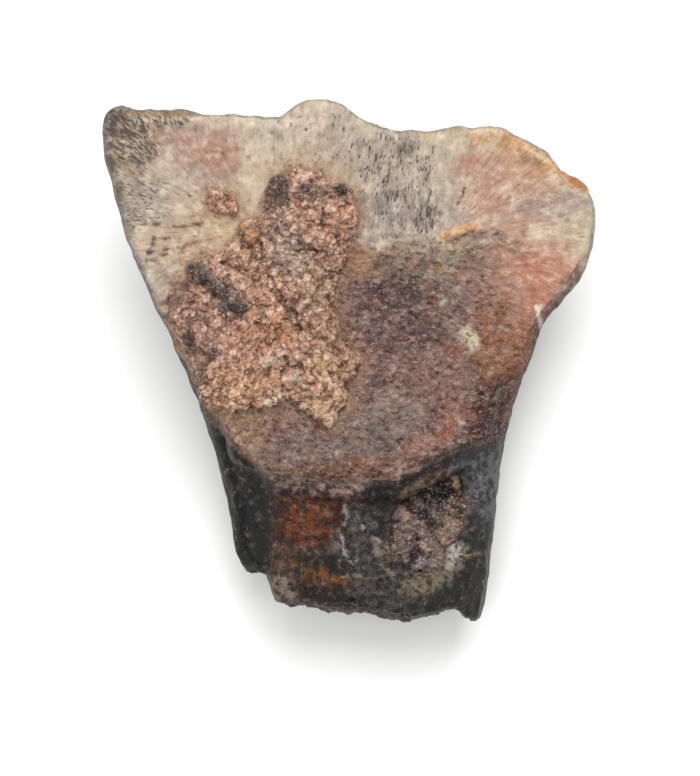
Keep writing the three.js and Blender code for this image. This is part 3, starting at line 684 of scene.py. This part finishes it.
SEDIMENT_STAINS = [
    # Painted shadow: black under the ledge at the top of the pocket
    ("#080808", 0.97, 1.2, [50, -112, 82, -96, 105, -87, 111, -116, 93, -129, 68, -129]),
    ("#a99773", 0.9, 0.4, [93, -102, 100, -100, 103, -107, 95, -111]),
    ("#4e2a1b", 0.8, 0.9, [97, -118, 109, -118, 109, -163, 99, -159]),
    ("#96765d", 0.75, 0.7, [31, -154, 46, -154, 47, -165, 35, -165]),
    ("#997c65", 0.7, 0.7, [46, -130, 57, -127, 58, -141, 50, -143]),
    ("#997c5f", 0.7, 0.7, [61, -164, 70, -161, 73, -174, 64, -176]),
    ("#997d65", 0.7, 0.7, [80, -154, 91, -154, 93, -166, 82, -165]),
    ("#856c5d", 0.7, 0.7, [87, -130, 100, -132, 98, -152, 89, -150]),
    ("#877978", 0.85, 1, [42, -170, 78, -174, 73, -192, 50, -193]),
]
POCKET_BOTTOM = [107, -93]


def sediment_relief(points):
    """The fill stands nearly flush at the lower left, and is deepest under the ledge."""
    clump, grain, _ = sand_heights(points)
    shore = 0.35 * rise(distance_to_line(points, POCKET_BOTTOM), 3.0, 8.5)
    return shore + 0.20 * clump + 0.11 * grain + 0.40 * noise(points, 1.4, 3, 55) - 0.1


def sediment_colours(points):
    """The colours of the pocket's fill: pale sand, with painted highlights on its crests, painted shade
    that turns its hollows black, and a painted shadow under the ledge.
    """
    close = wander(points, 0.25, 0.7, 56)
    clump, grain, number = sand_heights(points)
    colours = mottled(all_over("#5e504c", points), points, [("#86756d", 0.6, 0.9, 3, 57, 0.1, 0.7)])
    colours = stained(colours, close, SEDIMENT_STAINS, 0.5 * noise(points, 0.6, 3, 54))
    colours = painted(colours, "#a9927c", 0.3 * rise(number, 0.80, 0.92))
    # Painted highlights on the crests, and painted shade that turns the hollows black
    shading_level = 0.55 * clump + 0.5 * grain + 0.9 * noise(points, 1.4, 3, 55)
    colours = painted(colours, "#99877c", 0.3 * rise(shading_level, 0.4, 1.4))
    return painted(colours, "#080808", 0.9 * rise(-shading_level, -0.1, 0.8))


def read(what, name):
    """Three numbers for each of these parts of a mesh."""
    values = np.empty(len(what) * 3, np.float32)
    what.foreach_get(name, values)
    return values.reshape(-1, 3).astype(float)


def places_of(piece):
    return read(piece.data.vertices, "co") / MM


def normals_of(piece):
    return read(piece.data.vertices, "normal")


def place(piece, points):
    """Puts the piece's points here, or on the side of the CAD box where they would pass it."""
    low, high = (np.array(corner) for corner in cad_box)
    kept_in = np.clip(points * MM, low, high)
    piece.data.vertices.foreach_set("co", kept_in.astype(np.float32).ravel())
    piece.data.update()


def distance_to_pieces(points, pieces):
    """How far each point is from the nearest of the pieces."""
    corners = np.concatenate([places_of(piece) for piece in pieces])
    search = KDTree(len(corners))
    for index, corner in enumerate(corners):
        search.insert(corner, index)
    search.balance()
    return np.array([search.find(point)[2] for point in points])


def baked(piece):
    """The piece's mesh takes on what its modifiers make of it."""
    depsgraph = bpy.context.evaluated_depsgraph_get()
    whole = bpy.data.meshes.new_from_object(piece.evaluated_get(depsgraph))
    piece.modifiers.clear()
    piece.data = whole


def even_copy(node, name, voxel, soften):
    """A copy of a CAD solid with an even mesh and softened facets."""
    piece = bpy.data.objects.new(name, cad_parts[node].data.copy())
    bpy.context.scene.collection.objects.link(piece)
    solid = bmesh.new()
    solid.from_mesh(piece.data)
    bmesh.ops.remove_doubles(solid, verts=solid.verts, dist=1e-4 * MM)
    solid.to_mesh(piece.data)
    solid.free()
    even = piece.modifiers.new("even", "REMESH")
    even.mode = "VOXEL"
    even.voxel_size = 1 * voxel * MM
    smooth = piece.modifiers.new("soften", "SMOOTH")
    smooth.factor = 0.5
    smooth.iterations = soften
    baked(piece)
    return piece


def thin_out(piece, most):
    """Brings the piece to a number of triangles, mostly from where it is flat."""
    count = sum(len(face.vertices) - 2 for face in piece.data.polygons)
    fewer = piece.modifiers.new("fewer", "DECIMATE")
    fewer.ratio = min(1.0, most / count)
    fewer.use_collapse_triangulate = True
    baked(piece)


def write(piece, name, kind, field, values):
    """Stores a value for each point of the piece, for its material to read."""
    layer = piece.data.attributes.new(name, kind, "POINT")
    layer.data.foreach_set(field, values.astype(np.float32).ravel())


def write_colours(piece, colours):
    """Stores the piece's stains."""
    opaque = np.ones((len(colours), 1))
    colours = np.concatenate((np.clip(colours, 0, 1), opaque), axis=1)
    write(piece, "stain", "FLOAT_COLOR", "color", colours)


def finish_piece(piece, node, material):
    """Gives the piece its material and smooth shading, hangs it on the root body, and hides the CAD solid
    it stands for.
    """
    piece.data.materials.clear()
    piece.data.materials.append(material)
    piece.data.shade_smooth()
    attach(piece, "root")
    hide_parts(node)


def add(tree, kind, settings, inputs):
    """Adds a node with its settings. Each input takes a value, another node or its output."""
    node = tree.nodes.new("ShaderNode" + kind)
    for name, value in settings.items():
        setattr(node, name, value)
    for name, value in inputs.items():
        taker = node.inputs[name]
        if isinstance(name, str):
            taker = next(socket for socket in node.inputs if socket.name == name and socket.enabled)
        if isinstance(value, bpy.types.Node):
            value = next(socket for socket in value.outputs if socket.enabled)
        if isinstance(value, bpy.types.NodeSocket):
            tree.links.new(value, taker)
        else:
            taker.default_value = value
    return node


def new_material(name):
    """An empty material, its node tree and the places on the piece that patterns are laid by."""
    material = bpy.data.materials.new(name)
    material.use_nodes = True
    tree = material.node_tree
    tree.nodes.clear()
    return material, tree, add(tree, "TexCoord", {}, {}).outputs["Object"]


def rgba(hex_colour):
    return (*linear(hex_colour), 1.0)


DENTINE_IOR = 1.55
QUARTZ_IOR = 1.54
BUMP_STRENGTH = 0.9
LAID_OVER = {"data_type": "RGBA"}
DARKENED = {"data_type": "RGBA", "blend_type": "MULTIPLY"}
SOFT_STEP = {"interpolation_type": "SMOOTHSTEP"}


def tinted(tree, colour, pattern, start, end, most, tint, way=LAID_OVER):
    """The colour under a tint, which grows to its most as the pattern goes from start to end."""
    share = add(tree, "MapRange", SOFT_STEP,
                {"Value": pattern, "From Min": start, "From Max": end, "To Max": most})
    return add(tree, "Mix", way, {"Factor": share, "A": colour, "B": rgba(tint)})


def summed(tree, *layers):
    """The sum of patterns, each times its weight."""
    total = 0.0
    for pattern, weight in layers:
        total = add(tree, "Math", {"operation": "MULTIPLY_ADD"}, {0: pattern, 1: weight, 2: total})
    return total


def end_material(tree, colour, height, rough, ior, gloss):
    """The surface of a material, with bumps whose height is in millimetres."""
    bump = add(tree, "Bump", {}, {"Height": height, "Distance": MM, "Strength": BUMP_STRENGTH})
    shader = add(tree, "BsdfPrincipled", {}, {"Base Color": colour, "Roughness": rough, "Normal": bump,
                                              "IOR": ior, "Specular IOR Level": gloss})
    add(tree, "OutputMaterial", {}, {"Surface": shader})


# Worn ivory: pale dentine whose fibres end in dark slits, 0.1 mm wide in the real tooth and drawn up
# to twice as wide so that they show. Between them it is smooth, and faintly clouded.
def wall_finish(tree, stain, here):
    fibres = add(tree, "Attribute", {"attribute_name": "fibres"}, {}).outputs["Vector"]
    slits = add(tree, "Attribute", {"attribute_name": "slits"}, {}).outputs["Fac"]
    cloud = add(tree, "TexNoise", {}, {"Vector": fibres, "Scale": 0.35, "Detail": 4.0, "Roughness": 0.6})
    streak = add(tree, "TexNoise", {}, {"Vector": fibres, "Scale": 0.9, "Detail": 3.0, "Roughness": 0.6})
    wide = add(tree, "TexNoise", {}, {"Vector": fibres, "Scale": 1.0, "Detail": 1.5})
    fine = add(tree, "TexNoise", {}, {"Vector": fibres, "Scale": 1.9, "Detail": 1.0})
    mottle = add(tree, "TexNoise", {},
                 {"Vector": here, "Scale": 1 / (0.8 * MM), "Detail": 5.0, "Roughness": 0.65})
    colour = tinted(tree, stain, mottle, 0.50, 0.70, 0.50, "#d8cab4")
    colour = tinted(tree, colour, mottle, 0.48, 0.32, 0.40, "#b7a597", DARKENED)
    colour = tinted(tree, colour, streak, 0.48, 0.33, 0.35, "#a99c90", DARKENED)
    colour = tinted(tree, colour, streak, 0.53, 0.72, 0.28, "#d9c7ae")

    smoke = add(tree, "MapRange", SOFT_STEP,
                {"Value": cloud, "From Min": 0.46, "From Max": 0.68, "To Max": 0.45})
    smoke = add(tree, "Math", {"operation": "MULTIPLY"}, {0: smoke, 1: slits})
    colour = add(tree, "Mix", LAID_OVER, {"Factor": smoke, "A": colour, "B": rgba("#7a6f67")})
    widest = add(tree, "Math", {"operation": "MAXIMUM"}, {0: wide, 1: fine})
    open_here = summed(tree, (widest, 1.0), (slits, 0.21), (cloud, 0.26))
    slit = add(tree, "MapRange", SOFT_STEP,
               {"Value": open_here, "From Min": 0.92, "From Max": 1.07, "To Max": 0.85})
    colour = add(tree, "Mix", LAID_OVER, {"Factor": slit, "A": colour, "B": rgba("#3d322b")})
    return colour, summed(tree, (slit, -0.05), (mottle, 0.07))


# The dish: dentine that has weathered to a wrinkled crust with crumbs 0.15 to 0.4 mm across. Painted
# shade makes the hollows between them nearly black, and painted highlights make the crests pale.
def dish_finish(tree, stain, here):
    leaning = add(tree, "Mapping", {}, {"Vector": here, "Rotation": (0, 0, 0.3), "Scale": (1.0, 1.5, 1.0)})
    wrinkles = add(tree, "TexNoise", {}, {"Vector": leaning, "Scale": 1 / (0.6 * MM), "Detail": 5.0,
                                          "Roughness": 0.66, "Distortion": 0.5})
    crumbs = add(tree, "TexNoise", {}, {"Vector": here, "Scale": 1 / (0.19 * MM), "Detail": 2.0})
    colour = tinted(tree, stain, wrinkles, 0.49, 0.34, 1.0, "#a08b85", DARKENED)
    colour = tinted(tree, colour, wrinkles, 0.52, 0.67, 0.58, "#b89c90")
    colour = tinted(tree, colour, crumbs, 0.43, 0.29, 0.50, "#43353a")
    colour = tinted(tree, colour, crumbs, 0.60, 0.72, 0.42, "#c4ada0")
    return colour, summed(tree, (wrinkles, 0.45), (crumbs, 0.12))


# The root: dense dark dentine, nearly black where it is whole, with pale flecks where it has flaked
def root_finish(tree, stain, here):
    flecks = add(tree, "TexNoise", {},
                 {"Vector": here, "Scale": 1 / (0.6 * MM), "Detail": 6.0, "Roughness": 0.7})
    specks = add(tree, "TexNoise", {}, {"Vector": here, "Scale": 1 / (0.22 * MM), "Detail": 3.0})
    colour = tinted(tree, stain, flecks, 0.51, 0.42, 0.85, "#151314")
    colour = tinted(tree, colour, flecks, 0.57, 0.66, 0.40, "#8f867d")
    colour = tinted(tree, colour, specks, 0.60, 0.74, 0.18, "#a89b8d")
    colour = tinted(tree, colour, specks, 0.44, 0.33, 0.50, "#0e0c0d")
    return colour, summed(tree, (flecks, 0.34), (specks, 0.10))


# Sand grains: dull, with pale quartz dust on their tops
def sand_finish(tree, stain, here):
    dust = add(tree, "TexNoise", {},
               {"Vector": here, "Scale": 1 / (0.24 * MM), "Detail": 3.0, "Roughness": 0.6})
    colour = tinted(tree, stain, dust, 0.50, 0.34, 0.80, "#ab8d7b", DARKENED)
    colour = tinted(tree, colour, dust, 0.54, 0.70, 0.40, "#e3cbb4")
    return colour, summed(tree, (dust, 0.14))


# Mineralised dentine, worn, stained and dulled by the ground. Its four finishes meet where the
# shares painted on the tooth say.
def tooth_material():
    material, tree, here = new_material("mineralised_dentine")
    stain = add(tree, "Attribute", {"attribute_name": "stain"}, {}).outputs["Color"]
    colour, height = wall_finish(tree, stain, here)
    rough = 0.5
    # Each other finish, with the share that it is mixed in by and its roughness
    finishes = (("crumb", dish_finish, 0.7), ("slate", root_finish, 0.42), ("sand", sand_finish, 0.85))
    for name, finish, its_rough in finishes:
        share = add(tree, "Attribute", {"attribute_name": name}, {}).outputs["Fac"]
        its_colour, its_height = finish(tree, stain, here)
        colour = add(tree, "Mix", LAID_OVER, {"Factor": share, "A": colour, "B": its_colour})
        height = add(tree, "Mix", {}, {"Factor": share, "A": height, "B": its_height})
        rough = add(tree, "Mix", {}, {"Factor": share, "A": rough, "B": its_rough})
    end_material(tree, colour, height, rough, DENTINE_IOR, 0.2)
    return material


# Sandstone: quartz and feldspar sand in a clay and iron cement. It is dull, and each grain catches
# the light on its own.
def stone_material(name, rough):
    material, tree, here = new_material(name)
    stain = add(tree, "Attribute", {"attribute_name": "stain"}, {}).outputs["Color"]
    colour, height = sand_finish(tree, stain, here)
    end_material(tree, colour, height, rough, QUARTZ_IOR, 0.3)
    return material


STONE_TRIANGLES = 150000
TOOTH_TRIANGLES = 190000


def build_stone(node, name, voxel, sink, spread, relief, colours, material):
    """A crust, fleck or fill: a copy of its CAD solid, made grainy and grown into the tooth, down
    by sink and sideways by spread."""
    piece = even_copy(node, name, voxel, soften=3)
    points, normals = places_of(piece), normals_of(piece)
    points += normals * relief(points)[:, None]
    points[:, 2] -= sink * rise(-normals[:, 2], -0.3, 0.3)
    sideways = rise(np.linalg.norm(normals[:, :2], axis=1), 0.3, 0.9)
    points[:, :2] += spread * normals[:, :2] * sideways[:, None]
    place(piece, points)
    thin_out(piece, STONE_TRIANGLES)
    write_colours(piece, colours(places_of(piece)))
    finish_piece(piece, node, material)
    return piece


def build_tooth(sand_pieces, mud_pieces):
    """The tooth, stained round the pieces that are stuck to it."""
    piece = even_copy("tooth", "fossil_tooth", voxel=0.14, soften=24)
    points, normals = places_of(piece), normals_of(piece)
    place(piece, points + normals * tooth_relief(points, normals)[:, None])
    thin_out(piece, TOOTH_TRIANGLES)
    points, normals = places_of(piece), normals_of(piece)
    sand_gap = distance_to_pieces(points, sand_pieces)
    mud_gap = distance_to_pieces(points, mud_pieces)
    colours, parts = tooth_stains(points, normals, sand_gap, mud_gap)
    write_colours(piece, colours)
    for name, shares in parts.items():
        write(piece, name, "FLOAT", "value", shares)
    write(piece, "fibres", "FLOAT_VECTOR", "vector", fibre_places(points))
    finish_piece(piece, "tooth", tooth_material())


sandstone = stone_material("iron_stained_sandstone", 0.68)
crust = build_stone("sandstone_crust", "crust", 0.09, sink=0.75, spread=0.1,
                    relief=crust_relief, colours=crust_colours, material=sandstone)
fleck = build_stone("sandstone_fleck", "fleck", 0.07, sink=0.75, spread=0.1,
                    relief=crust_relief, colours=crust_colours, material=sandstone)
# The pocket's fill is sand bound with more clay, so it is duller
clayey = stone_material("cemented_sediment", 0.75)
sediment = build_stone("pocket_sediment", "sediment", 0.07, sink=0.5, spread=0.8,
                       relief=sediment_relief, colours=sediment_colours, material=clayey)
build_tooth([crust, fleck], [sediment])

# A floor of matt white paper, which has no gleam and takes a soft shadow
FLOOR_SIDE = 1.2
floor_mesh = bpy.data.meshes.new("floor")
sheet = bmesh.new()
bmesh.ops.create_grid(sheet, x_segments=1, y_segments=1, size=FLOOR_SIDE / 2)
sheet.to_mesh(floor_mesh)
sheet.free()
floor = bpy.data.objects.new("floor", floor_mesh)
bpy.context.scene.collection.objects.link(floor)
paper, paper_tree, paper_here = new_material("matt_white_paper")
paper_grain = add(paper_tree, "TexNoise", {}, {"Vector": paper_here, "Scale": 1 / (2 * MM)})
paper_bump = add(paper_tree, "Bump", {}, {"Height": paper_grain, "Distance": 0.02 * MM, "Strength": 0.3})
paper_shader = add(paper_tree, "BsdfPrincipled", {},
                   {"Base Color": rgba("#fdfdfc"), "Roughness": 0.9, "Normal": paper_bump})
add(paper_tree, "OutputMaterial", {}, {"Surface": paper_shader})
floor_mesh.materials.append(paper)


def soft_light(name, where, side, power):
    """A square lamp that shines on the tooth from this place."""
    lamp = bpy.data.lights.new(name, "AREA")
    lamp.shape = "SQUARE"
    lamp.size = side
    lamp.energy = power
    light = bpy.data.objects.new(name, lamp)
    light.location = where
    light.rotation_mode = "QUATERNION"
    light.rotation_quaternion = (-Vector(where)).to_track_quat("-Z", "Y")
    bpy.context.scene.collection.objects.link(light)


# Most of the light comes from above the crown, and the white room fills in the rest
ROOM_LIGHT = 0.6
soft_light("key", (0.05, 0.31, 0.48), 0.40, 2.8)
soft_light("fill", (-0.20, -0.16, 0.52), 0.55, 1.1)

scene = bpy.context.scene
world = bpy.data.worlds.new("white_room")
world.use_nodes = True
backdrop = world.node_tree.nodes["Background"]
backdrop.inputs["Color"].default_value = (1, 1, 1, 1)
backdrop.inputs["Strength"].default_value = ROOM_LIGHT
scene.world = world
scene.view_settings.view_transform = "Standard"

# The camera is straight over the tooth. The photograph shows 0.09 mm of the face in a pixel.
PIXEL = 0.09 * MM
PICTURE_HEIGHT = 776
PICTURE_MIDDLE = (0.09 * MM, -2.25 * MM)
FACE_LEVEL = 14.5 * MM
CAMERA_HEIGHT = 0.55
SENSOR = 36
camera_data = bpy.data.cameras.new("overhead")
camera_data.sensor_width = SENSOR
camera_data.lens = SENSOR * (CAMERA_HEIGHT - FACE_LEVEL) / (PICTURE_HEIGHT * PIXEL)
camera_data.clip_start = 0.05
camera_data.clip_end = 5
camera = bpy.data.objects.new("overhead", camera_data)
camera.location = (*PICTURE_MIDDLE, CAMERA_HEIGHT)
scene.collection.objects.link(camera)
scene.camera = camera
